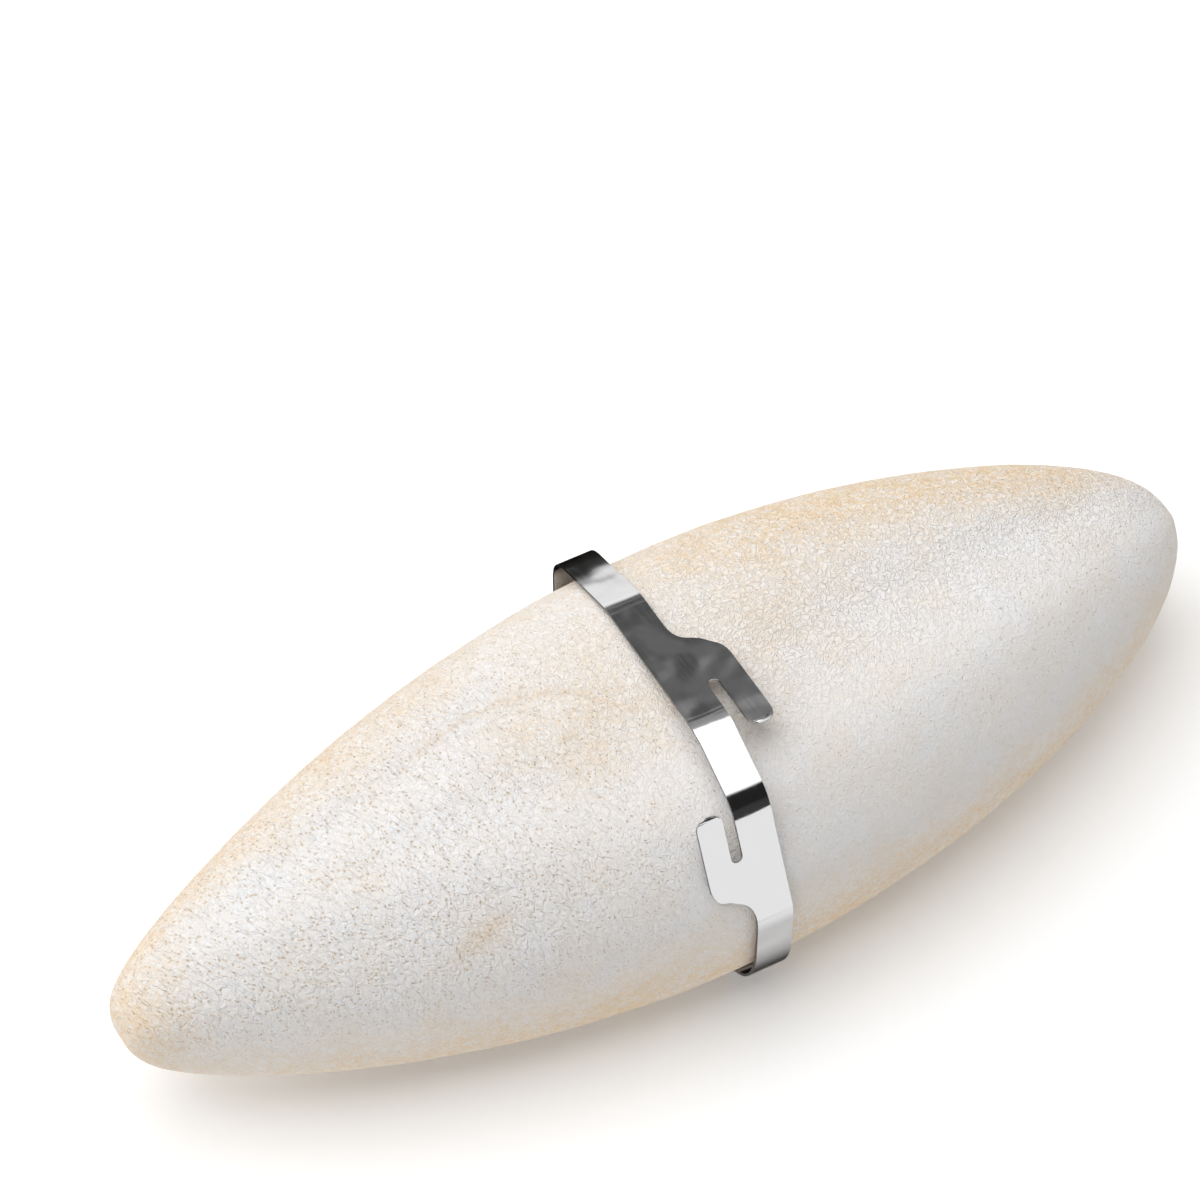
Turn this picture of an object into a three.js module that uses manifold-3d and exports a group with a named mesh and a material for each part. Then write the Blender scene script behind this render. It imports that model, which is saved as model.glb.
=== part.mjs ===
// A cuttlebone with its spring-steel holder clip, lying on its belly.
// Units are millimetres. +X runs along the bone towards its blunt end, +Y across it, +Z up.
// The origin is on the resting plane, under the middle of the bone.

import * as THREE from 'three';
import Module from 'manifold-3d';
import { mergeVertices } from 'three/addons/utils/BufferGeometryUtils.js';

// Bone: overall size, and the shape of its outline and cross-section
const boneLength = 160;
const boneWidth = 56.4;
const crownHeight = 19.5;      // top of the bone above its side edges
const bellyDepth = 19.5;       // lowest point of the belly below its side edges
const bellyFlat = 0.5;         // how much of the belly is worn flat where it rests
const tailBluntness = 0.279;   // exponents of the plan outline at the narrow and the blunt end
const headBluntness = 0.476;
const outlineLean = 0.3;       // moves the widest place towards the blunt end
const outlineSlim = -0.363;    // draws in both ends
const profileBluntness = 0.415;
const crownRoundness = 2.27;   // superellipse exponents of the cross-section
const bellyRoundness = 3.1;
const tailLift = 1.6;          // rise of the side edge at the narrow end
const headDrop = 1.7;          // fall of the side edge at the blunt end
const edgeSweep = 2.2;
const boneStations = 44;
const boneSides = 48;

// Soft ridges and hollows along the crown. Widths and middles are shares of the bone's half width there.
// Each place is [along the bone, middle of the ridge, strength].
const nearTurn = {
  height: 1.25,
  width: 0.26,
  places: [
    [-75, -0.1, 0.1],
    [-56, -0.34, 0.5],
    [-35, -0.48, 0.9],
    [-14, -0.63, 1],
    [9, -0.66, 1],
    [44, -0.62, 0.9],
    [70, -0.6, 0.3],
  ],
};
const bluntHollow = {
  height: -0.55,
  width: 0.17,
  places: [
    [8, -0.05, 0],
    [27, -0.05, 0.8],
    [44, -0.03, 1],
    [60, 0, 1],
    [72, 0.02, 0],
  ],
};
const growthGroove = {
  height: -0.5,
  width: 0.12,
  places: [
    [-60, 0.2, 0],
    [-46, 0.22, 0.9],
    [-32, 0.29, 1],
    [-20, 0.27, 0.8],
    [-8, 0.1, 0],
  ],
};
const ridges = [nearTurn, bluntHollow, growthGroove];
const crownBlend = 3;          // how soon above the side edges the ridges have their full height

// Clip: one strip of sheet steel
const sheet = 0.4;
const bandWidth = 5.1;
const clipOffset = 1.35;       // along the bone, from its middle
const clipTurn = -3.5;         // degrees about +Z, as the clip sits on the bone
const coining = 0.02;          // the hook leaves are pressed this much thinner on each face
const bendFacets = 14;         // facets of each bend of the strip

// Outer surface of the strip in its own plane, as [across the bone, height above the side edges]
const flank = 29.1;
const armTip = [19.6, -18.15];
const armBend = [25.5, -16.9];
const armRise = [flank, -11.5];
const flankLow = [flank, -3];
const farFlankHigh = [flank, 6.5];
const farShoulder = [flank, 11];
const farRampLow = [25.3, 13.05];
const farRampHigh = [15, 18.45];
const plateBend = [13.6, 19.2];
const upperPlateStart = [12, 19.5];
const upperPlateEnd = [-8.5, 23.7];
const crownBend = [-11.3, 24.3];
const crownBendEnd = [-14, 23.05];
const nearRampEnd = [-18, 21.6];
const nearShoulder = [-20.9, 20.95];
const lowerPlateEnd = [-22.2, 18.3];
const lowerPlateStart = [-28.6, 5.05];
const nearHip = [-flank, 4];
const nearFlankHigh = [-flank, 2];

// Hook leaf: a tab beside the strip, with the wire slot between them
const slotWidth = 1.6;
const tabWidth = 3.6;
const tabReach = 8.9;          // from the closed end of the slot to the end of the tab
const neckLength = 11;         // from the start of the widening to the closed end of the slot
const shoulderLength = 4.4;    // from the shoulder's corner to the closed end
const neckEase = 3.5;          // the widening leaves the strip in this length
const neckFlare = 2.9;         // and moves out this far
const neckRise = 4.6;          // by here
const cornerBefore = [1, 0.9]; // where the shoulder's corner starts, in from it and before it
const cornerAfter = 2.2;       // where it ends, along the tab
const tabRounding = 0.48;      // as a share of the tab's width
const upperHook = { slotEnd: 16.5, stretch: 1.08 };
const lowerHook = { slotEnd: 9.1, stretch: 0.91 };

const edgeHeight = bellyDepth - bellyFlat;

// Half of the plan width at t, which runs from -1 at the narrow end to 1 at the blunt end
function outlineCurve(t) {
  const ends = (1 + t) ** tailBluntness * (1 - t) ** headBluntness;
  return ends * (1 + outlineLean * t + outlineSlim * t * t);
}

function outlinePeak() {
  let peak = 0;
  for (let t = -0.99; t < 1; t += 0.005) {
    peak = Math.max(peak, outlineCurve(t));
  }
  return peak;
}

const widest = outlinePeak();

function sideEdge(t) {
  const sweep = Math.abs(t) ** edgeSweep;
  return edgeHeight + (t < 0 ? tailLift : -headDrop) * sweep;
}

// Height that one ridge adds at x, where share is how far out across the half width the place is
function ridgeHeight(ridge, x, share) {
  const { places } = ridge;
  const next = places.findIndex(([along]) => along > x);
  if (next < 1) {
    return 0;
  }
  const [start, startMiddle, startStrength] = places[next - 1];
  const [end, endMiddle, endStrength] = places[next];
  const part = (x - start) / (end - start);
  const middle = THREE.MathUtils.lerp(startMiddle, endMiddle, part);
  const strength = THREE.MathUtils.lerp(startStrength, endStrength, part);
  return ridge.height * strength * Math.exp(-(((share - middle) / ridge.width) ** 2));
}

// A unit sphere with its poles along X, pulled to the shape of the bone
function makeBone() {
  const geometry = new THREE.SphereGeometry(1, boneSides, boneStations);
  geometry.rotateZ(-Math.PI / 2);
  geometry.deleteAttribute('normal');
  geometry.deleteAttribute('uv');
  const bone = mergeVertices(geometry, 1e-5);
  const place = bone.attributes.position;
  for (let i = 0; i < place.count; i += 1) {
    const t = THREE.MathUtils.clamp(place.getX(i), -1, 1);
    const ring = Math.hypot(place.getY(i), place.getZ(i));
    const across = ring > 1e-6 ? place.getY(i) / ring : 0;
    const up = ring > 1e-6 ? place.getZ(i) / ring : 0;
    const power = 2 / (up > 0 ? crownRoundness : bellyRoundness);
    const halfWidth = ring > 1e-6 ? (boneWidth / 2) * outlineCurve(t) / widest : 0;
    const profile = ring > 1e-6 ? (1 - t * t) ** profileBluntness : 0;
    const reach = (up > 0 ? crownHeight : bellyDepth) * profile;
    const x = (boneLength / 2) * t;
    const share = Math.sign(across) * Math.abs(across) ** power;
    let z = sideEdge(t) + reach * Math.sign(up) * Math.abs(up) ** power;
    const crown = THREE.MathUtils.clamp(up * crownBlend, 0, 1);
    for (const ridge of ridges) {
      z += crown * ridgeHeight(ridge, x, share);
    }
    place.setXYZ(i, x, halfWidth * share, Math.max(z, 0));
  }
  return bone;
}

function mirrored([across, height]) {
  return [-across, height];
}

// Points along the outer surface of the strip, from the tip of the far arm to the tip of the near arm
function stripPoints() {
  const path = new THREE.Path();
  path.moveTo(...armTip);
  path.bezierCurveTo(...armBend, ...armRise, ...flankLow);
  path.lineTo(...farFlankHigh);
  path.quadraticCurveTo(...farShoulder, ...farRampLow);
  path.lineTo(...farRampHigh);
  path.quadraticCurveTo(...plateBend, ...upperPlateStart);
  path.lineTo(...upperPlateEnd);
  path.quadraticCurveTo(...crownBend, ...crownBendEnd);
  path.lineTo(...nearRampEnd);
  path.quadraticCurveTo(...nearShoulder, ...lowerPlateEnd);
  path.lineTo(...lowerPlateStart);
  path.quadraticCurveTo(...nearHip, ...nearFlankHigh);
  path.lineTo(...mirrored(flankLow));
  path.bezierCurveTo(...mirrored(armRise), ...mirrored(armBend), ...mirrored(armTip));
  return path.getPoints(bendFacets);
}

// The same points moved inwards by the thickness of the sheet
function insetPoints(points) {
  return points.map((point, i) => {
    const before = points[Math.max(i - 1, 0)];
    const after = points[Math.min(i + 1, points.length - 1)];
    const along = after.clone().sub(before).normalize();
    return new THREE.Vector2(point.x - along.y * sheet, point.y + along.x * sheet);
  });
}

// The plain strip, wrapped round the bone from one underside to the other
function makeStrip() {
  const outer = stripPoints();
  const inner = insetPoints(outer);
  const shape = new THREE.Shape([...outer, ...inner.reverse()]);
  const strip = new THREE.ExtrudeGeometry(shape, { depth: bandWidth, bevelEnabled: false });
  const turn = new THREE.Matrix4().makeBasis(
    new THREE.Vector3(0, 1, 0),
    new THREE.Vector3(0, 0, 1),
    new THREE.Vector3(1, 0, 0),
  );
  strip.translate(0, 0, -bandWidth / 2);
  strip.applyMatrix4(turn);
  return strip;
}

// Outline of a hook leaf: first coordinate across the strip, second along its flat plate
function hookOutline(hook) {
  const slotInner = bandWidth / 2;
  const slotOuter = slotInner + slotWidth;
  const tabOuter = slotOuter + tabWidth;
  const slotMiddle = slotInner + slotWidth / 2;
  const neck = hook.slotEnd - neckLength * hook.stretch;
  const shoulder = hook.slotEnd - shoulderLength * hook.stretch;
  const tabEnd = hook.slotEnd + tabReach * hook.stretch;
  const round = tabWidth * tabRounding;
  const slotStart = hook.slotEnd + slotWidth / 2;
  const outline = new THREE.Shape();
  outline.moveTo(0, neck);
  outline.lineTo(slotInner, neck);
  outline.bezierCurveTo(
    slotInner,
    neck + neckEase,
    slotInner + neckFlare / 2,
    neck + neckEase,
    slotInner + neckFlare,
    neck + neckRise,
  );
  outline.lineTo(tabOuter - cornerBefore[0], shoulder - cornerBefore[1]);
  outline.quadraticCurveTo(tabOuter, shoulder, tabOuter, shoulder + cornerAfter);
  outline.lineTo(tabOuter, tabEnd - round);
  outline.quadraticCurveTo(tabOuter, tabEnd, tabOuter - round, tabEnd);
  outline.quadraticCurveTo(slotOuter, tabEnd, slotOuter, tabEnd - round);
  outline.lineTo(slotOuter, slotStart);
  outline.absarc(slotMiddle, slotStart, slotWidth / 2, 0, -Math.PI, true);
  outline.lineTo(0, slotStart);
  return outline;
}

// A hook leaf on the flat plate that runs from start to end; side is +1 or -1 along X
function makeHook(hook, start, end, side) {
  const leaf = new THREE.ExtrudeGeometry(hookOutline(hook), {
    depth: sheet - 2 * coining,
    bevelEnabled: false,
    curveSegments: 8,
  });
  const outwards = new THREE.Vector3(side, 0, 0);
  const along = new THREE.Vector3(0, end[0] - start[0], end[1] - start[1]).normalize();
  const inwards = outwards.clone().cross(along);
  leaf.translate(0, 0, coining);
  leaf.applyMatrix4(new THREE.Matrix4().makeBasis(outwards, along, inwards));
  leaf.translate(0, start[0], start[1]);
  return leaf;
}

// Turns a closed geometry into a solid that can be joined to others
function toSolid(wasm, geometry) {
  geometry.deleteAttribute('normal');
  geometry.deleteAttribute('uv');
  const merged = mergeVertices(geometry, 1e-4);
  const mesh = new wasm.Mesh({
    numProp: 3,
    vertProperties: new Float32Array(merged.attributes.position.array),
    triVerts: new Uint32Array(merged.index.array),
  });
  return new wasm.Manifold(mesh);
}

function fromSolid(solid) {
  const mesh = solid.getMesh();
  const geometry = new THREE.BufferGeometry();
  geometry.setAttribute('position', new THREE.BufferAttribute(mesh.vertProperties, 3));
  geometry.setIndex(new THREE.BufferAttribute(mesh.triVerts, 1));
  return geometry;
}

function makeClip(wasm) {
  const strip = toSolid(wasm, makeStrip());
  const upper = toSolid(wasm, makeHook(upperHook, upperPlateStart, upperPlateEnd, 1));
  const lower = toSolid(wasm, makeHook(lowerHook, lowerPlateStart, lowerPlateEnd, -1));
  return fromSolid(strip.add(upper).add(lower));
}

function addMesh(parent, name, geometry, finish) {
  geometry.computeVertexNormals();
  const mesh = new THREE.Mesh(geometry, new THREE.MeshStandardMaterial(finish));
  mesh.name = name;
  parent.add(mesh);
}

const wasm = await Module();
wasm.setup();

const model = new THREE.Group();
addMesh(model, 'cuttlebone', makeBone(), { color: 0xece6dc, roughness: 0.9, metalness: 0 });

const seat = new THREE.Group();
seat.position.set(clipOffset, 0, edgeHeight);
seat.rotation.z = THREE.MathUtils.degToRad(clipTurn);
model.add(seat);
addMesh(seat, 'holder_clip', makeClip(wasm), { color: 0xc8c8ca, roughness: 0.12, metalness: 1 });

export default model;
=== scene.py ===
# A cuttlebone in its sheet-steel holder clip, lying on a white studio floor.
# Sizes in the settings are millimetres unless a note says otherwise; meshes are made in metres.

import math

import bpy
import numpy as np
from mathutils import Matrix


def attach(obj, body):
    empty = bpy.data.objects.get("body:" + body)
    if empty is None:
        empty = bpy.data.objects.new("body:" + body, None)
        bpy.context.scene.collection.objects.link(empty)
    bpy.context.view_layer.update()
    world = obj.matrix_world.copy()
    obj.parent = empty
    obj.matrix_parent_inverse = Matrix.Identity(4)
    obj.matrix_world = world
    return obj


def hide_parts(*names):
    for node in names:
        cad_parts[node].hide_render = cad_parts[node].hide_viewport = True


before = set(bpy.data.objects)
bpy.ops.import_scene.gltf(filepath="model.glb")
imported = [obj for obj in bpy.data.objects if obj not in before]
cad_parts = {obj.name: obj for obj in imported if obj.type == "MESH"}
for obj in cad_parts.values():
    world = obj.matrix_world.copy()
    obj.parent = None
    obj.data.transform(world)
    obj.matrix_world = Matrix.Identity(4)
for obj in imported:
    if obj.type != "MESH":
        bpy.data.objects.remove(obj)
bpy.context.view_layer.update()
mm = 0.001


def linearColour(hexCode):
    channels = [int(hexCode[i:i + 2], 16) / 255 for i in (1, 3, 5)]
    linear = [c / 12.92 if c <= 0.04045 else ((c + 0.055) / 1.055) ** 2.4 for c in channels]
    return (*linear, 1.0)


# adds one node; settings are its properties, inputs are values or sockets to link from,
# by name, or by number as i0, i1 and so on
def addNode(tree, kind, settings=None, **inputs):
    node = tree.nodes.new(kind)
    for name, value in (settings or {}).items():
        setattr(node, name, value)
    for name, value in inputs.items():
        key = int(name[1:]) if name[0] == "i" and name[1:].isdigit() else name.replace("_", " ")
        if isinstance(value, bpy.types.NodeSocket):
            tree.links.new(value, node.inputs[key])
        else:
            node.inputs[key].default_value = value
    return node


def selectOnly(thing):
    bpy.ops.object.select_all(action="DESELECT")
    thing.select_set(True)
    bpy.context.view_layer.objects.active = thing


def applyModifiers(thing):
    selectOnly(thing)
    for modifier in list(thing.modifiers):
        bpy.ops.object.modifier_apply(modifier=modifier.name)


def getPoints(thing):
    flat = np.empty(len(thing.data.vertices) * 3)
    thing.data.vertices.foreach_get("co", flat)
    return flat.reshape(-1, 3)


def setPoints(thing, points):
    thing.data.vertices.foreach_set("co", np.asarray(points, dtype=np.float32).ravel())
    thing.data.update()


# camera

cameraSettings = {
    "aim": (2.12, 19.49, 31.06),
    "distance": 647.5,
    "azimuth": -30.45,      # degrees
    "elevation": 56.0,
    "lens": 148.6,
    "sensor": 36.0,
    "clipStart": 50,
    "clipEnd": 50000,
}


def makeCamera(settings):
    azimuth = math.radians(settings["azimuth"])
    elevation = math.radians(settings["elevation"])
    back = np.array([
        math.sin(azimuth) * math.cos(elevation),
        -math.cos(azimuth) * math.cos(elevation),
        math.sin(elevation),
    ])
    place = (np.array(settings["aim"]) + back * settings["distance"]) * mm
    bpy.ops.object.camera_add(location=place, rotation=(math.pi / 2 - elevation, 0, azimuth))
    camera = bpy.context.object
    camera.data.lens = settings["lens"]
    camera.data.sensor_width = settings["sensor"]
    camera.data.clip_start = settings["clipStart"] * mm
    camera.data.clip_end = settings["clipEnd"] * mm
    bpy.context.scene.camera = camera
    bpy.context.scene.view_settings.view_transform = "Standard"


makeCamera(cameraSettings)
print("camera placed")


# studio: a white floor and two black cards under a painted dome of light

floorSettings = {
    "size": 12000,
    "drop": 0.02,           # a hair under the bone, so that the two faces don't fight
    "colour": "#f6f6f6",
    "roughness": 0.9,
    "specular": 0.1,
    "glow": 0.14,           # light from under the paper, so that open floor reads as white
}

cardSettings = {
    "colour": "#2a2a2a",
    "roughness": 0.95,
    "cards": [              # tilt in degrees
        {"name": "lying_card", "size": (1200, 1200), "middle": (150, 638, 1.5), "tilt": 0},
        {"name": "standing_card", "size": (300, 35), "middle": (20, 62, 19.3), "tilt": 90},
    ],
}

# each patch: direction of its middle, degrees where it is full, degrees where it has faded,
# brightness; a later patch covers an earlier one
domeSettings = {
    "base": 0.38,
    "patches": [
        {"name": "dim front", "middle": (0.45, -0.85, 0.25),
         "full": 35, "faded": 95, "light": 0.26},
        {"name": "bright back wall", "middle": (0.25, 0.96, 0.05),
         "full": 22, "faded": 34, "light": 1.25},
        {"name": "key from the left", "middle": (-0.62, 0.42, 0.66),
         "full": 14, "faded": 30, "light": 1.9},
        {"name": "overhead softbox", "middle": (-0.12, 0.14, 0.98),
         "full": 24, "faded": 30, "light": 3.3},
        {"name": "small box over the clip", "middle": (0.27, -0.18, 0.94),
         "full": 9, "faded": 18, "light": 1.5},
        {"name": "dark flag behind", "middle": (0.30, 0.80, 0.53),
         "full": 14, "faded": 22, "light": 0.08, "streaked": True},
        {"name": "dark flag in front", "middle": (0.27, -0.78, 0.55),
         "full": 24, "faded": 31, "light": 0.02},
        {"name": "dark gap under that flag", "middle": (0.22, -0.96, 0.17),
         "full": 9, "faded": 14, "light": 0.05},
    ],
    # faint wisps of light on the flag behind, two or three degrees wide
    "streakScale": 20.0,
    "streakDetail": 1.5,
    "streakTwist": 0.8,
    "streakEdges": (0.45, 0.6),
    "streakLight": 0.3,
}


def makeFloor(settings):
    bpy.ops.mesh.primitive_plane_add(
        size=settings["size"] * mm, location=(0, 0, -settings["drop"] * mm))
    floor = bpy.context.object
    floor.name = "studio_floor"
    paint = bpy.data.materials.new("white studio paper")
    paint.use_nodes = True
    shader = paint.node_tree.nodes["Principled BSDF"]
    shader.inputs["Base Color"].default_value = linearColour(settings["colour"])
    shader.inputs["Roughness"].default_value = settings["roughness"]
    shader.inputs["Specular IOR Level"].default_value = settings["specular"]
    shader.inputs["Emission Color"].default_value = (1, 1, 1, 1)
    shader.inputs["Emission Strength"].default_value = settings["glow"]
    floor.data.materials.append(paint)


# black cards that only mirrors see, behind the bone: one lies flat and one stands close to the
# clip, and they darken the clip's far bend and the low end of its far slope
def makeCards(settings):
    black = bpy.data.materials.new("black card")
    black.use_nodes = True
    shader = black.node_tree.nodes["Principled BSDF"]
    shader.inputs["Base Color"].default_value = linearColour(settings["colour"])
    shader.inputs["Roughness"].default_value = settings["roughness"]
    for place in settings["cards"]:
        bpy.ops.mesh.primitive_plane_add(
            size=mm, location=[value * mm for value in place["middle"]],
            rotation=(math.radians(place["tilt"]), 0, 0))
        card = bpy.context.object
        card.name = place["name"]
        card.scale = (*place["size"], 1)
        for sight in ("camera", "diffuse", "shadow", "transmission", "volume_scatter"):
            setattr(card, "visible_" + sight, False)
        card.data.materials.append(black)


def makeDome(settings):
    world = bpy.data.worlds.new("studio dome")
    bpy.context.scene.world = world
    world.use_nodes = True
    tree = world.node_tree
    tree.nodes.clear()
    direction = addNode(tree, "ShaderNodeTexCoord").outputs["Generated"]
    streaks = addNode(
        tree, "ShaderNodeTexNoise", Vector=direction, Scale=settings["streakScale"],
        Detail=settings["streakDetail"], Distortion=settings["streakTwist"]).outputs["Fac"]
    streaks = addNode(
        tree, "ShaderNodeMapRange", {"interpolation_type": "SMOOTHSTEP"}, Value=streaks,
        From_Min=settings["streakEdges"][0], From_Max=settings["streakEdges"][1],
        To_Min=0.0, To_Max=settings["streakLight"]).outputs["Result"]
    level = settings["base"]
    for patch in settings["patches"]:
        middle = np.array(patch["middle"])
        middle = middle / np.linalg.norm(middle)
        facing = addNode(
            tree, "ShaderNodeVectorMath", {"operation": "DOT_PRODUCT"},
            i0=direction, i1=tuple(middle)).outputs["Value"]
        share = addNode(
            tree, "ShaderNodeMapRange", {"interpolation_type": "SMOOTHSTEP"}, Value=facing,
            From_Min=math.cos(math.radians(patch["faded"])),
            From_Max=math.cos(math.radians(patch["full"]))).outputs["Result"]
        light = patch["light"]
        if patch.get("streaked"):
            light = addNode(
                tree, "ShaderNodeMath", {"operation": "ADD"}, i0=streaks, i1=light).outputs[0]
        level = addNode(
            tree, "ShaderNodeMix", {"data_type": "FLOAT"},
            i0=share, i2=level, i3=light).outputs["Result"]
    glow = addNode(tree, "ShaderNodeBackground", Color=(1, 1, 1, 1), Strength=level)
    addNode(tree, "ShaderNodeOutputWorld", Surface=glow.outputs["Background"])


makeFloor(floorSettings)
makeCards(cardSettings)
makeDome(domeSettings)
print("studio ready")


# bone

boneSettings = {
    "length": 160.0,
    "width": 56.4,
    "crown": 19.5,          # rise of the upper side above the side edges
    "belly": 19.5,
    "wornFlat": 0.5,        # how much of the belly is worn away where it rests
    # outline: powers of the two ends, and how the middle leans and thins
    "tailBluntness": 0.279,
    "headBluntness": 0.476,
    "lean": 0.3,
    "slim": -0.363,
    # section: powers of the long profile and of the cross section above and below
    "profileBluntness": 0.415,
    "crownRoundness": 2.27,
    "bellyRoundness": 3.1,
    # how far the side edges rise at the pointed end and sink at the blunt one
    "tailLift": 1.6,
    "headDrop": 1.7,
    "edgeSweep": 2.2,
    "segments": 256,
    "rings": 372,
    "poleCrowding": 0.8,    # share of the rings' spacing that follows a sphere's
    "inset": 0.12,          # room left inside the model's box for the surface's own relief
    "restingHeight": 0.6,   # below this the belly gets no relief, so that it rests flat
    # soft ridges and hollows along the crown: middle and width as shares of the half width
    "crownBlend": 3,        # how soon they reach their full height above the side edges
    "ridges": [
        {"name": "near turn", "height": 1.5, "width": 0.26,
         "stations": (-75, -56, -35, -14, 9, 44, 70),
         "middle": (-0.10, -0.34, -0.48, -0.63, -0.66, -0.62, -0.60),
         "strength": (0.1, 0.5, 0.9, 1, 1, 0.9, 0.3)},
        {"name": "blunt end's hollow", "height": -0.55, "width": 0.17,
         "stations": (8, 27, 44, 60, 72),
         "middle": (-0.05, -0.05, -0.03, 0.0, 0.02),
         "strength": (0, 0.8, 1, 1, 0)},
        {"name": "groove under the growth line", "height": -0.5, "width": 0.12,
         "stations": (-60, -46, -32, -20, -8),
         "middle": (0.2, 0.22, 0.29, 0.27, 0.1),
         "strength": (0, 0.9, 1, 0.8, 0)},
        {"name": "swell beside the groove", "height": 0.35, "width": 0.15,
         "stations": (-62, -46, -30, -14, -4),
         "middle": (-0.08, -0.06, 0.0, 0.02, 0.0),
         "strength": (0, 0.9, 1, 0.7, 0)},
    ],
    "relief": [
        {"name": "slow unevenness", "kind": "CLOUDS", "size": 14.0, "height": 0.22},
        {"name": "small unevenness", "kind": "CLOUDS", "size": 2.2, "height": 0.10},
    ],
}

# colour and texture zones. Stations are places along the bone, each followed by the values
# there; shares are of the half width, from the near edge at -1 to the far edge at 1
zoneSettings = {
    "crownFoot": (-0.15, 0.1),          # where the crown's marks fade out down the side
    "farFoot": (-0.6, 0.1),             # the far tan reaches further down
    "farEdge": ((-80, -60, -30, -10, 8, 35, 60, 80),
                (0.05, 0.15, 0.25, 0.4, 0.2, 0.0, -0.1, -0.1)),
    "farSpread": 0.7,
    "farTan": ((-80, -40, 0, 30, 66, 80), (0.85, 0.75, 0.55, 0.85, 0.9, 0.3)),
    "lowHeights": (-28, -9),            # the low tan fades in from 28 down to 9 mm
    "lowTan": ((-80, -30, 10, 60), (0.6, 0.8, 0.95, 0.85)),
    "tipFades": (66, 80),
    "tipTan": 0.7,
    # soft tan patches on either side of the clip: station and share, and their spreads
    "patches": [
        {"middle": (-12, 0.05), "spread": (13, 0.4), "strength": 0.45},
        {"middle": (16, 0.1), "spread": (14, 0.5), "strength": 0.3},
    ],
    "stain": {"middle": (-36.9, -17.3), "spread": (4.4, 0.9), "strength": 0.6},
    # growth line: an ochre arch beside the clip, as places on the crown
    "growthPlaces": [(-46, 2.2), (-38, 5.6), (-29.3, 8.6), (-24, 9.4), (-18.8, 9.0),
                     (-11.7, 6.1), (-7.5, 1.8), (-4.9, -2.6)],
    "growthWidth": 0.55,
    "growthStrength": 0.55,
    "growth": ((-46, -38, -28, -8, -4), (0, 0.15, 0.7, 1, 0.3)),
    "pits": ((-80, -45, -15, 10, 40, 75), (1.0, 0.9, 0.6, 0.35, 0.45, 0.6)),
    "pitHeights": (14, 32),
    "pitFloor": 0.35,                   # share of the pits that stay on the flanks
    "pitsInTan": 0.25,
    "wrinkle": ((-80, -30, 0, 20), (1.0, 0.9, 0.35, 0.2)),
    "wrinkleHeights": (10, 30),
    "worm": ((-80, -40, -5, 15, 80), (0.3, 0.3, 0.6, 1, 1)),
    "wormShares": (-0.7, 0.0),
    "wormFloor": 0.4,
}


def outlineCurve(t, s):
    ends = (1 + t) ** s["tailBluntness"] * (1 - t) ** s["headBluntness"]
    return ends * (1 + s["lean"] * t + s["slim"] * t * t)


def makeBone(s, zones):
    bpy.ops.object.select_all(action="DESELECT")
    bpy.ops.mesh.primitive_uv_sphere_add(
        segments=s["segments"], ring_count=s["rings"], radius=1, rotation=(0, math.pi / 2, 0))
    bone = bpy.context.object
    bone.name = "cuttlebone_body"
    bpy.ops.object.transform_apply(location=True, rotation=True, scale=True)
    points = getPoints(bone)

    # t runs from -1 at the pointed end to 1 at the blunt one
    turn = np.arcsin(np.clip(points[:, 0], -1, 1)) / (math.pi / 2)
    t = (1 - s["poleCrowding"]) * turn + s["poleCrowding"] * np.sin(turn * math.pi / 2)
    t = np.clip(t, -1, 1)
    ring = np.hypot(points[:, 1], points[:, 2])
    atPole = ring < 1e-6
    ring[atPole] = 1
    across = points[:, 1] / ring
    up = points[:, 2] / ring
    power = np.where(up > 0, 2 / s["crownRoundness"], 2 / s["bellyRoundness"])
    stations = np.linspace(-0.99, 0.99, 400)    # close enough to find the widest place
    widest = outlineCurve(stations, s).max()
    halfWidth = s["width"] / 2 * outlineCurve(t, s) / widest
    profile = (1 - t * t) ** s["profileBluntness"]
    reach = np.where(up > 0, s["crown"], s["belly"]) * profile
    halfWidth[atPole] = 0
    reach[atPole] = 0
    sweep = np.abs(t) ** s["edgeSweep"]
    lift = np.where(t < 0, s["tailLift"], -s["headDrop"])
    sideEdge = s["belly"] - s["wornFlat"] + lift * sweep
    x = s["length"] / 2 * t
    y = halfWidth * np.sign(across) * np.abs(across) ** power
    z = sideEdge + reach * np.sign(up) * np.abs(up) ** power
    share = y / np.maximum(halfWidth, 1e-3)
    crown = np.clip(up * s["crownBlend"], 0, 1)
    for ridge in s["ridges"]:
        middle = np.interp(x, ridge["stations"], ridge["middle"])
        strength = np.interp(x, ridge["stations"], ridge["strength"])
        swell = np.exp(-((share - middle) / ridge["width"]) ** 2)
        z = z + ridge["height"] * strength * crown * swell
    z = np.maximum(z, 0)
    shrinkAlong = 1 - s["inset"] / (s["length"] / 2)
    shrinkAcross = 1 - s["inset"] / s["width"] * 2
    setPoints(bone, np.column_stack([x * shrinkAlong, y * shrinkAcross, z]) * mm)

    paintZones(bone, zones, x, y, z, share, up)
    group = bone.vertex_groups.new(name="relief")
    uneven = np.nonzero(z >= s["restingHeight"])[0]
    group.add([int(i) for i in uneven], 1.0, "REPLACE")
    for relief in s["relief"]:
        texture = bpy.data.textures.new(relief["name"], relief["kind"])
        texture.noise_scale = relief["size"] * mm
        push = bone.modifiers.new(relief["name"], "DISPLACE")
        push.texture = texture
        push.texture_coords = "LOCAL"
        push.strength = relief["height"] * mm
        push.mid_level = 1.0        # only ever inwards, so that nothing grows past the box
        push.vertex_group = "relief"
    applyModifiers(bone)
    bpy.ops.object.shade_smooth()
    return bone


def fade(value, low, high):
    u = np.clip((value - low) / (high - low), 0, 1)
    return u * u * (3 - 2 * u)


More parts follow.
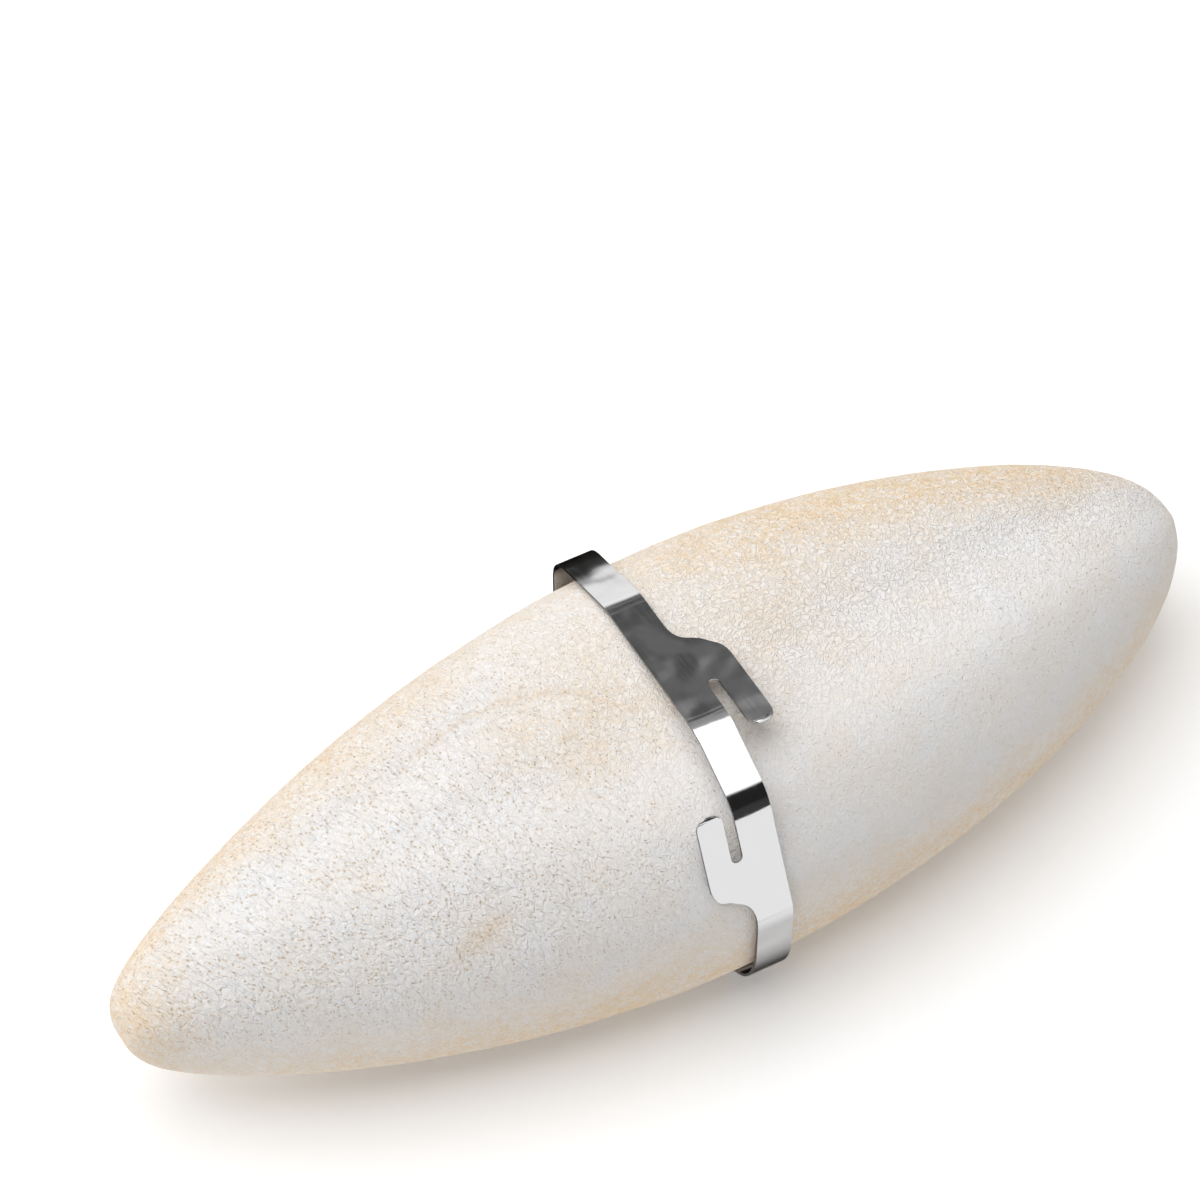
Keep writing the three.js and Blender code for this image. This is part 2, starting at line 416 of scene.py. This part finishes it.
# soft round patch: strongest at its middle, and thinning with its two spreads
def blot(first, second, b):
    return b["strength"] * np.exp(
        -((first - b["middle"][0]) / b["spread"][0]) ** 2
        - ((second - b["middle"][1]) / b["spread"][1]) ** 2)


# distance of each place from a line drawn through the given ones
def lineDistance(x, y, places):
    nearest = np.full(len(x), np.inf)
    for (x0, y0), (x1, y1) in zip(places, places[1:]):
        runX, runY = x1 - x0, y1 - y0
        along = np.clip(((x - x0) * runX + (y - y0) * runY) / (runX ** 2 + runY ** 2), 0, 1)
        nearest = np.minimum(nearest, np.hypot(x - x0 - along * runX, y - y0 - along * runY))
    return nearest


# how tan, stained, pitted, wrinkled and worm-tracked each place is, as attributes for the material
def paintZones(bone, s, x, y, z, share, up):
    crown = fade(up, *s["crownFoot"])
    farEdge = np.interp(x, *s["farEdge"])
    farTan = fade(share, farEdge, farEdge + s["farSpread"]) * fade(up, *s["farFoot"])
    farTan = farTan * np.interp(x, *s["farTan"])
    lowTan = fade(-z, *s["lowHeights"]) * np.interp(x, *s["lowTan"])
    tipTan = fade(-x, *s["tipFades"]) * s["tipTan"]
    tan = np.maximum.reduce([farTan, lowTan, tipTan])
    for patch in s["patches"]:
        tan = tan + blot(x, share, patch) * crown
    line = lineDistance(x, y, s["growthPlaces"])
    growth = s["growthStrength"] * np.exp(-(line / s["growthWidth"]) ** 2) * crown
    growth = growth * np.interp(x, *s["growth"])
    stain = np.maximum(blot(x, y, s["stain"]) * crown, growth)
    pits = np.interp(x, *s["pits"])
    pits = pits * (s["pitFloor"] + (1 - s["pitFloor"]) * fade(z, *s["pitHeights"]))
    pits = pits + s["pitsInTan"] * farTan
    wrinkle = np.interp(x, *s["wrinkle"]) * fade(z, *s["wrinkleHeights"])
    worm = (1 - s["wormFloor"]) * fade(share, *s["wormShares"]) * crown
    worm = s["wormFloor"] + worm * np.interp(x, *s["worm"])
    zones = {"tan": tan, "stain": stain, "pits": pits, "wrinkle": wrinkle, "worm": worm}
    for name, values in zones.items():
        layer = bone.data.attributes.new(name, "FLOAT", "POINT")
        layer.data.foreach_set("value", np.clip(values, 0, 1).astype(np.float32))


bone = makeBone(boneSettings, zoneSettings)
print("bone shaped")


chalkSettings = {
    "white": "#f2f1f1",
    "cream": "#f2ece5",
    "tan": "#efd5b0",
    "ochre": "#dcb47c",
    "pit": "#d9b584",
    "roughness": 0.86,
    "specular": 0.35,
    # scales are per mm, depths in mm
    "wormScale": 1.4,       # worm-like tracks about 0.6 mm apart
    "wormTwist": 0.9,
    "wormEdge": 0.13,       # how wide a track's sides are, in steps of its noise
    "valleyEdge": 0.06,
    "wormDepth": 0.095,
    "slant": -68,           # degrees the wrinkles lie off the bone's length
    "wrinkleStretch": (2.4, 0.8, 1.1),
    "wrinkleTwist": 0.5,
    "wrinkleEdge": 0.14,
    "wrinkleDepth": 0.105,
    "pitScale": 1.5,        # pits 0.2 to 0.4 mm across, a little coarser than the real pores
    "pitStretch": (1.25, 0.9, 0.9),
    "pitReach": (0.08, 0.31),   # a pit's radius in cells, where pits are fewest and most
    "pitRim": 0.45,
    "pitColour": 0.6,
    "pitDepth": 0.08,
    "grainScale": 2.6,
    "grainDepth": 0.03,
    "patchScale": 0.14,     # cream patches about 7 mm wide
    "fineScale": 0.9,
    # shares of one colour laid over another: at the least and at the most, or a base and
    # what a pattern adds to it
    "tanByPatch": (0.6, 0.7),
    "tanSpeckle": (0.35, 0.95),
    "tanInValleys": 0.35,
    "stainSpeckle": (0.15, 0.6),
    "ochreInValleys": (0.08, 0.3),
}


# chalky aragonite, dried and scrubbed: dull off-white, worm-like tracks and open pores,
# tan where it weathered
def makeBoneMaterial(c):
    chalk = bpy.data.materials.new("chalky aragonite")
    chalk.use_nodes = True
    tree = chalk.node_tree
    shader = tree.nodes["Principled BSDF"]
    times = {"operation": "MULTIPLY"}
    plus = {"operation": "ADD"}
    minus = {"operation": "SUBTRACT"}
    smooth = {"interpolation_type": "SMOOTHSTEP"}
    place = addNode(tree, "ShaderNodeTexCoord").outputs["Object"]
    place = addNode(
        tree, "ShaderNodeMapping", Vector=place, Scale=(1 / mm, 1 / mm, 1 / mm)).outputs["Vector"]
    zones = {}
    for name in ("tan", "stain", "pits", "wrinkle", "worm"):
        zones[name] = addNode(
            tree, "ShaderNodeAttribute", {"attribute_name": name}).outputs["Fac"]

    # places drawn out across the bone, the way the wrinkles run
    slanted = {}
    for name in ("wrinkleStretch", "pitStretch"):
        slanted[name] = addNode(
            tree, "ShaderNodeMapping", {"vector_type": "TEXTURE"}, Vector=place,
            Rotation=(0, 0, math.radians(c["slant"])), Scale=c[name]).outputs["Vector"]

    noises = {
        "worm": {"Vector": place, "Scale": c["wormScale"], "Detail": 1.0,
                 "Distortion": c["wormTwist"]},
        "wrinkle": {"Vector": slanted["wrinkleStretch"], "Scale": 1.0, "Detail": 1.5,
                    "Distortion": c["wrinkleTwist"]},
        "patches": {"Vector": place, "Scale": c["patchScale"], "Detail": 3.0, "Roughness": 0.6},
        "fine": {"Vector": place, "Scale": c["fineScale"], "Detail": 3.0},
        "grain": {"Vector": place, "Scale": c["grainScale"], "Detail": 2.0},
    }
    for name, inputs in noises.items():
        noises[name] = addNode(tree, "ShaderNodeTexNoise", **inputs).outputs["Fac"]
    # the two winding patterns are valleys where their noise passes its middle value, 0.5
    for name in ("worm", "wrinkle"):
        offset = addNode(tree, "ShaderNodeMath", minus, i0=noises[name], i1=0.5).outputs[0]
        noises[name] = addNode(
            tree, "ShaderNodeMath", {"operation": "ABSOLUTE"}, i0=offset).outputs[0]

    # pores: round spots in cells, larger where the zone has more of them
    reach = addNode(
        tree, "ShaderNodeMapRange", smooth, Value=zones["pits"],
        To_Min=c["pitReach"][0], To_Max=c["pitReach"][1]).outputs["Result"]
    cells = addNode(
        tree, "ShaderNodeTexVoronoi", {"feature": "F1"}, Vector=slanted["pitStretch"],
        Scale=c["pitScale"], Randomness=1.0).outputs["Distance"]
    spots = addNode(
        tree, "ShaderNodeMath", {"operation": "DIVIDE"}, i0=cells, i1=reach).outputs[0]

    # each pattern made 0 to 1, or to the shares named in the settings
    ranges = {
        "worm": (noises["worm"], (0.0, c["wormEdge"]), (0.0, 1.0)),
        "valley": (noises["worm"], (c["valleyEdge"], 0.0), (0.0, 1.0)),
        "wrinkle": (noises["wrinkle"], (0.0, c["wrinkleEdge"]), (0.0, 1.0)),
        "pit": (spots, (1.0, c["pitRim"]), (0.0, 1.0)),
        "cream": (noises["patches"], (0.3, 0.8), (0.0, 1.0)),
        "speckle": (noises["fine"], (0.3, 0.7), c["tanSpeckle"]),
        "fleck": (noises["fine"], (0.25, 0.6), c["stainSpeckle"]),
    }
    patterns = {}
    for name, (value, source, target) in ranges.items():
        patterns[name] = addNode(
            tree, "ShaderNodeMapRange", smooth, Value=value, From_Min=source[0],
            From_Max=source[1], To_Min=target[0], To_Max=target[1]).outputs["Result"]

    # tan by zone and patch, then speckled, with more of it in the valleys
    patchShare = addNode(
        tree, "ShaderNodeMath", times, i0=noises["patches"], i1=c["tanByPatch"][1]).outputs[0]
    patchShare = addNode(
        tree, "ShaderNodeMath", plus, i0=c["tanByPatch"][0], i1=patchShare).outputs[0]
    tan = addNode(tree, "ShaderNodeMath", times, i0=zones["tan"], i1=patchShare).outputs[0]
    inValleys = addNode(
        tree, "ShaderNodeMath", times, i0=patterns["valley"], i1=c["tanInValleys"]).outputs[0]
    speckle = addNode(
        tree, "ShaderNodeMath", plus, i0=patterns["speckle"], i1=inValleys).outputs[0]
    tan = addNode(tree, "ShaderNodeMath", times, i0=tan, i1=speckle).outputs[0]
    stain = addNode(
        tree, "ShaderNodeMath", times, i0=zones["stain"], i1=patterns["fleck"]).outputs[0]
    groove = addNode(
        tree, "ShaderNodeMath", times, i0=zones["tan"], i1=c["ochreInValleys"][1]).outputs[0]
    groove = addNode(
        tree, "ShaderNodeMath", plus, i0=c["ochreInValleys"][0], i1=groove).outputs[0]
    groove = addNode(
        tree, "ShaderNodeMath", times, i0=patterns["valley"], i1=groove).outputs[0]
    inPits = addNode(
        tree, "ShaderNodeMath", times, i0=patterns["pit"], i1=c["pitColour"]).outputs[0]
    layers = [
        (patterns["cream"], "cream"), (tan, "tan"), (stain, "ochre"), (groove, "ochre"),
        (inPits, "pit"),
    ]
    colour = linearColour(c["white"])
    for share, name in layers:
        colour = addNode(
            tree, "ShaderNodeMix", {"data_type": "RGBA"},
            i0=share, i6=colour, i7=linearColour(c[name])).outputs[2]

    # relief, in mm: tracks and wrinkles by zone, and grain, less the pores
    height = addNode(
        tree, "ShaderNodeMath", times, i0=noises["grain"], i1=c["grainDepth"]).outputs[0]
    for name in ("worm", "wrinkle"):
        part = addNode(
            tree, "ShaderNodeMath", times, i0=patterns[name], i1=zones[name]).outputs[0]
        part = addNode(
            tree, "ShaderNodeMath", times, i0=part, i1=c[name + "Depth"]).outputs[0]
        height = addNode(tree, "ShaderNodeMath", plus, i0=height, i1=part).outputs[0]
    hollow = addNode(
        tree, "ShaderNodeMath", times, i0=patterns["pit"], i1=c["pitDepth"]).outputs[0]
    height = addNode(tree, "ShaderNodeMath", minus, i0=height, i1=hollow).outputs[0]
    bump = addNode(tree, "ShaderNodeBump", Strength=1.0, Distance=mm, Height=height)
    tree.links.new(colour, shader.inputs["Base Color"])
    tree.links.new(bump.outputs["Normal"], shader.inputs["Normal"])
    shader.inputs["Roughness"].default_value = c["roughness"]
    shader.inputs["Specular IOR Level"].default_value = c["specular"]
    return chalk


bone.data.materials.append(makeBoneMaterial(chalkSettings))


# clip

clipSettings = {
    "sheet": 0.4,
    "width": 5.1,
    "offset": 1.35,
    "turn": -3.5,           # degrees
    "seatHeight": 18.97,
    "bendSteps": 16,
    "scoreGap": 0.15,       # a score line this far on each side of every bend's start and end
    "edgeBevel": 0.12,      # the most it may be: Blender holds it far smaller between close lines
    "bevelAngle": 50,       # degrees between faces from which an edge is bevelled
    "smoothAngle": 40,
    # outer surface, as (across the bone, height above its side edges): straight stretches
    # have two points and bends have more
    "path": [
        [(19.6, -18.15), (25.5, -16.9), (29.1, -11.5), (29.1, -3)],
        [(29.1, -3), (29.1, 6.5)],
        [(29.1, 6.5), (29.1, 11), (25.3, 13.05)],
        [(25.3, 13.05), (15, 18.45)],
        [(15, 18.45), (13.6, 19.2), (12, 19.5)],
        [(12, 19.5), (-8.5, 23.7)],
        [(-8.5, 23.7), (-11.3, 24.3), (-14, 23.05)],
        [(-14, 23.05), (-18, 21.6)],
        [(-18, 21.6), (-20.9, 20.95), (-22.2, 18.3)],
        [(-22.2, 18.3), (-28.6, 5.05)],
        [(-28.6, 5.05), (-29.1, 4), (-29.1, 2)],
        [(-29.1, 2), (-29.1, -3)],
        [(-29.1, -3), (-29.1, -11.5), (-25.5, -16.9), (-19.6, -18.15)],
    ],
    "upperPlate": 5,        # which stretch of the path each tab stands on
    "lowerPlate": 9,
}

# a tab's outline: places along it are counted from the closed end of its slot
hookSettings = {
    "slot": 1.6,
    "tab": 3.6,
    "reach": 8.9,
    "neck": 11.0,
    "shoulder": 4.4,
    "ease": 3.5,
    "flare": 2.9,
    "rise": 4.6,
    "cornerIn": 1.0,
    "cornerBefore": 0.9,
    "cornerAfter": 2.2,
    "rounding": 0.48,       # of the tab's end, as a share of its width
    "curveSteps": 8,
    "upper": {"slotEnd": 16.5, "stretch": 1.08},
    "lower": {"slotEnd": 9.1, "stretch": 0.91},
}


def bezierPoints(controls, steps):
    controls = np.array(controls, dtype=float)
    degree = len(controls) - 1
    u = np.linspace(0, 1, steps + 1)[:, None]
    return sum(
        math.comb(degree, i) * u ** i * (1 - u) ** (degree - i) * controls[i]
        for i in range(degree + 1)
    )


# edge of one tab from its neck to the strip beyond the slot, as (across, along)
def hookEdge(h, size, width):
    slotInner = width / 2
    slotOuter = slotInner + h["slot"]
    tabOuter = slotOuter + h["tab"]
    neck = size["slotEnd"] - h["neck"] * size["stretch"]
    shoulder = size["slotEnd"] - h["shoulder"] * size["stretch"]
    tabEnd = size["slotEnd"] + h["reach"] * size["stretch"]
    slotStart = size["slotEnd"] + h["slot"] / 2
    curve = h["tab"] * h["rounding"]
    steps = h["curveSteps"]
    stretches = [
        bezierPoints([
            (slotInner, neck),
            (slotInner, neck + h["ease"]),
            (slotInner + h["flare"] / 2, neck + h["ease"]),
            (slotInner + h["flare"], neck + h["rise"]),
        ], steps),
        bezierPoints([
            (tabOuter - h["cornerIn"], shoulder - h["cornerBefore"]),
            (tabOuter, shoulder),
            (tabOuter, shoulder + h["cornerAfter"]),
        ], steps),
        bezierPoints([
            (tabOuter, tabEnd - curve), (tabOuter, tabEnd), (tabOuter - curve, tabEnd)], steps),
        bezierPoints([
            (tabOuter - curve, tabEnd), (slotOuter, tabEnd), (slotOuter, tabEnd - curve)],
            steps)[1:],
    ]
    angles = np.linspace(0, -math.pi, 2 * steps + 1)
    middle = slotInner + h["slot"] / 2
    stretches.append(np.column_stack([
        middle + h["slot"] / 2 * np.cos(angles),
        slotStart + h["slot"] / 2 * np.sin(angles),
    ]))
    return np.vstack(stretches)


def makeClip(s, h):
    # the bent line of the strip, with the length along it at every point
    line = [np.array(s["path"][0][0], dtype=float)]
    knots = [0]
    for controls in s["path"]:
        steps = 1 if len(controls) == 2 else s["bendSteps"]
        line.extend(bezierPoints(controls, steps)[1:])
        knots.append(len(line) - 1)
    line = np.array(line)
    lengths = np.concatenate([[0], np.cumsum(np.hypot(*np.diff(line, axis=0).T))])
    upperStart = lengths[knots[s["upperPlate"]]]
    lowerStart = lengths[knots[s["lowerPlate"] + 1]]
    half = s["width"] / 2

    # the flat blank: one face with the strip's and the tabs' outline
    upperEdge = hookEdge(h, h["upper"], s["width"])
    lowerEdge = hookEdge(h, h["lower"], s["width"])
    outline = np.vstack([
        [(half, 0)],
        upperEdge + (0, upperStart),
        [(half, lengths[-1]), (-half, lengths[-1])],
        np.column_stack([-lowerEdge[:, 0], lowerStart - lowerEdge[:, 1]]),
        [(-half, 0)],
    ])
    bpy.ops.object.select_all(action="DESELECT")
    bpy.ops.mesh.primitive_circle_add(vertices=len(outline), radius=1, fill_type="NGON")
    clip = bpy.context.object
    clip.name = "spring_steel_clip"
    setPoints(clip, np.column_stack([outline, np.zeros(len(outline))]))

    # score lines where the blank will bend, and a close one on each side of a bend
    cuts = list(lengths[1:-1])
    for knot in knots[1:-1]:
        cuts.extend([lengths[knot] - s["scoreGap"], lengths[knot] + s["scoreGap"]])
    bpy.ops.object.mode_set(mode="EDIT")
    for cut in sorted(cuts):
        bpy.ops.mesh.select_all(action="SELECT")
        bpy.ops.mesh.bisect(plane_co=(0, cut, 0), plane_no=(0, 1, 0))
    bpy.ops.object.mode_set(mode="OBJECT")

    # bend it: the strip follows the line, the tabs stay in the plane of their plate
    blank = getPoints(clip)
    x, along = blank[:, 0], blank[:, 1]
    across = np.interp(along, lengths, line[:, 0])
    height = np.interp(along, lengths, line[:, 1])
    for side, plate in ((1, s["upperPlate"]), (-1, s["lowerPlate"])):
        first, last = knots[plate], knots[plate + 1]
        slope = (line[last] - line[first]) / (lengths[last] - lengths[first])
        onTab = side * x > half + 1e-4
        onward = along - lengths[first]
        across = np.where(onTab, line[first][0] + slope[0] * onward, across)
        height = np.where(onTab, line[first][1] + slope[1] * onward, height)
    turn = math.radians(s["turn"])
    bent = np.column_stack([
        s["offset"] + x * math.cos(turn) - across * math.sin(turn),
        x * math.sin(turn) + across * math.cos(turn),
        s["seatHeight"] + height,
    ])
    setPoints(clip, bent * mm)
    bpy.ops.object.mode_set(mode="EDIT")
    bpy.ops.mesh.select_all(action="SELECT")
    bpy.ops.mesh.normals_make_consistent(inside=False)
    bpy.ops.object.mode_set(mode="OBJECT")
    upwards = sum(face.normal.z * face.area for face in clip.data.polygons)
    if upwards < 0:
        clip.data.flip_normals()

    wall = clip.modifiers.new("sheet thickness", "SOLIDIFY")
    wall.thickness = s["sheet"] * mm
    wall.offset = -1
    rim = clip.modifiers.new("tumbled edges", "BEVEL")
    rim.width = s["edgeBevel"] * mm
    rim.segments = 2
    rim.limit_method = "ANGLE"
    rim.angle_limit = math.radians(s["bevelAngle"])
    applyModifiers(clip)
    bpy.ops.object.shade_smooth_by_angle(angle=math.radians(s["smoothAngle"]))
    weigh = clip.modifiers.new("flat plates stay flat", "WEIGHTED_NORMAL")
    weigh.weight = 100
    weigh.keep_sharp = True
    applyModifiers(clip)
    return clip


clip = makeClip(clipSettings, hookSettings)
print("clip bent,", len(clip.data.polygons), "faces")


steelSettings = {
    "colour": "#dcdcdd",
    "glancingReflectionShade": 0.12,       # painted shade in the reflections: darker towards a glancing view than nickel is
    "roughness": 0.075,
    "roughest": 1.5,        # times that, along the coarsest rolling marks
    "waveScale": 0.16,      # per mm: the sheet is not quite flat, in waves about 6 mm long
    "waveDepth": 0.12,      # mm
    "grainScale": 2.4,      # per mm: rolling marks, coarser than the real ones so that they show
    "grainStretch": (1, 0.06, 0.06),
    "grainTurn": 3.5,       # degrees
    "grainDepth": 0.0006,
}


# spring steel strip, rolled, tumbled and bright nickel plated: mirror-like, with slow waves in
# what it reflects
def makeSteelMaterial(c):
    steel = bpy.data.materials.new("nickel-plated spring steel")
    steel.use_nodes = True
    tree = steel.node_tree
    shader = tree.nodes["Principled BSDF"]
    place = addNode(tree, "ShaderNodeTexCoord").outputs["Object"]
    place = addNode(
        tree, "ShaderNodeMapping", Vector=place, Scale=(1 / mm, 1 / mm, 1 / mm)).outputs["Vector"]
    wave = addNode(
        tree, "ShaderNodeTexNoise", Vector=place, Scale=c["waveScale"], Detail=1.0).outputs["Fac"]
    rolled = addNode(
        tree, "ShaderNodeMapping", Vector=place, Rotation=(0, 0, math.radians(c["grainTurn"])),
        Scale=c["grainStretch"]).outputs["Vector"]
    grain = addNode(
        tree, "ShaderNodeTexNoise", Vector=rolled, Scale=c["grainScale"], Detail=3.0).outputs["Fac"]
    wave = addNode(
        tree, "ShaderNodeMath", {"operation": "MULTIPLY"}, i0=wave, i1=c["waveDepth"]).outputs[0]
    height = addNode(
        tree, "ShaderNodeMath", {"operation": "MULTIPLY_ADD"},
        i0=grain, i1=c["grainDepth"], i2=wave).outputs[0]
    bump = addNode(tree, "ShaderNodeBump", Strength=1.0, Distance=mm, Height=height)
    tree.links.new(bump.outputs["Normal"], shader.inputs["Normal"])
    rough = addNode(
        tree, "ShaderNodeMapRange", Value=grain, From_Min=0.3, From_Max=0.7,
        To_Min=c["roughness"], To_Max=c["roughness"] * c["roughest"]).outputs["Result"]
    tree.links.new(rough, shader.inputs["Roughness"])
    shader.inputs["Base Color"].default_value = linearColour(c["colour"])
    shader.inputs["Metallic"].default_value = 1.0
    # painted shade: the edge tint darkens reflections at the clip's glancing bends, standing in for
    # dark surroundings
    shader.inputs["Specular Tint"].default_value = (*[c["glancingReflectionShade"]] * 3, 1.0)
    return steel


clip.data.materials.append(makeSteelMaterial(steelSettings))

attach(bone, "root")
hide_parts("cuttlebone")
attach(clip, "root")
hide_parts("holder_clip")
